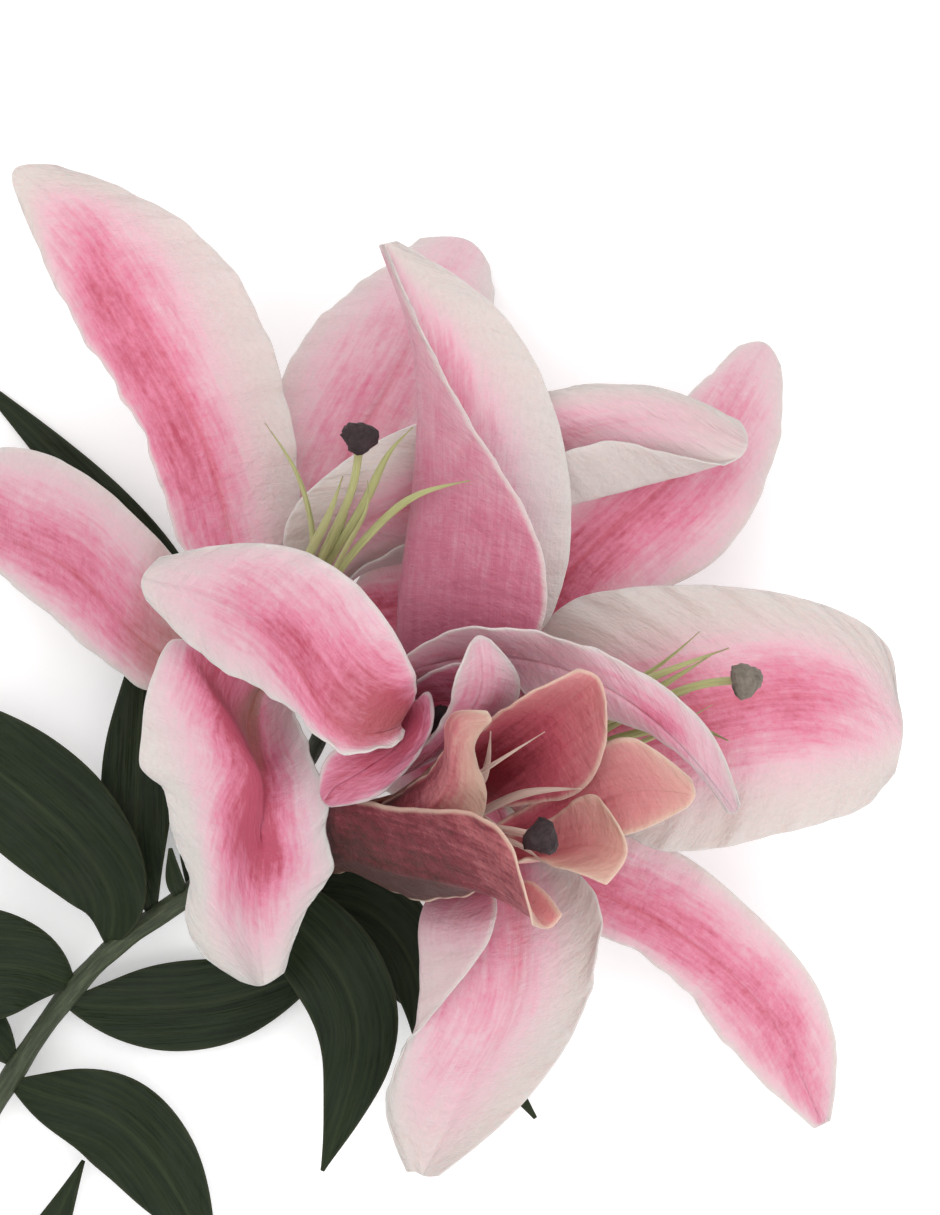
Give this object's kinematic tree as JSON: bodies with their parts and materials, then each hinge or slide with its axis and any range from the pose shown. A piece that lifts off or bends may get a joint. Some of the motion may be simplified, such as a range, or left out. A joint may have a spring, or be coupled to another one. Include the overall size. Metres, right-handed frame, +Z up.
{
  "type": "cut lily stem",
  "caption": "Cut spray of oriental lily lying down: open pink-and-white blooms and a half-open one on a leafy green stem, with stamens and pistils",
  "frame": {"origin": "Middle of the outline on the surface that the spray lies on, at the height of its lowest point", "axes": "+Y runs from the cut end of the stem to the flowers and is the longest extent; +X runs to the right as seen from above with the flowers away; +Z is up from the surface and is the shortest extent"},
  "size_m": [0.3406, 0.6664, 0.1362],
  "materials": {
    "petal": "soft satin, pink band and streaks on a cream-white margin",
    "petal_dusty": "soft satin, dusty pink with tan-cream rims",
    "leaf": "satin, dark green with parallel veins",
    "stem": "satin",
    "pistil": "satin, with a dark brown stigma",
    "filament": "satin, pale green"
  },
  "bodies": {
    "root": {"front_petal_down": "petal_dusty", "front_petal_left": "petal_dusty", "front_petal_top": "petal_dusty", "front_pistil": "pistil", "front_sepal_left": "petal_dusty", "front_sepal_right": "petal_dusty", "front_sepal_top": "petal_dusty", "front_stalk": "stem", "front_stamens": "filament", "leaf_bottom": "leaf", "leaf_bottom_left": "leaf", "leaf_bract_side": "leaf", "leaf_bract_top": "leaf", "leaf_left": "leaf", "leaf_left_low": "leaf", "leaf_low_right": "leaf", "leaf_lower_1": "leaf", "leaf_lower_2": "leaf", "leaf_lower_3": "leaf", "leaf_lower_4": "leaf", "leaf_lower_5": "leaf", "leaf_lower_6": "leaf", "leaf_lower_7": "leaf", "leaf_middle": "leaf", "leaf_middle_right": "leaf", "leaf_top_left": "leaf", "leaf_under_left": "leaf", "leaf_upright": "leaf", "main_stem": "stem", "middle_petal_down": "petal", "middle_petal_left": "petal", "middle_petal_right": "petal", "middle_pistil": "pistil", "middle_sepal_down": "petal", "middle_sepal_left": "petal", "middle_sepal_right": "petal", "middle_stalk": "stem", "middle_stamens": "filament", "right_petal_down": "petal", "right_petal_side": "petal", "right_petal_top": "petal", "right_pistil": "pistil", "right_sepal_down": "petal", "right_sepal_top": "petal", "right_sepal_under": "petal", "right_stalk": "stem", "right_stamens": "filament", "upper_petal_down": "petal", "upper_petal_left": "petal", "upper_petal_right": "petal", "upper_pistil": "pistil", "upper_sepal_left": "petal", "upper_sepal_top": "petal", "upper_sepal_under": "petal", "upper_stalk": "stem", "upper_stamens": "filament"}
  },
  "joints": []
}
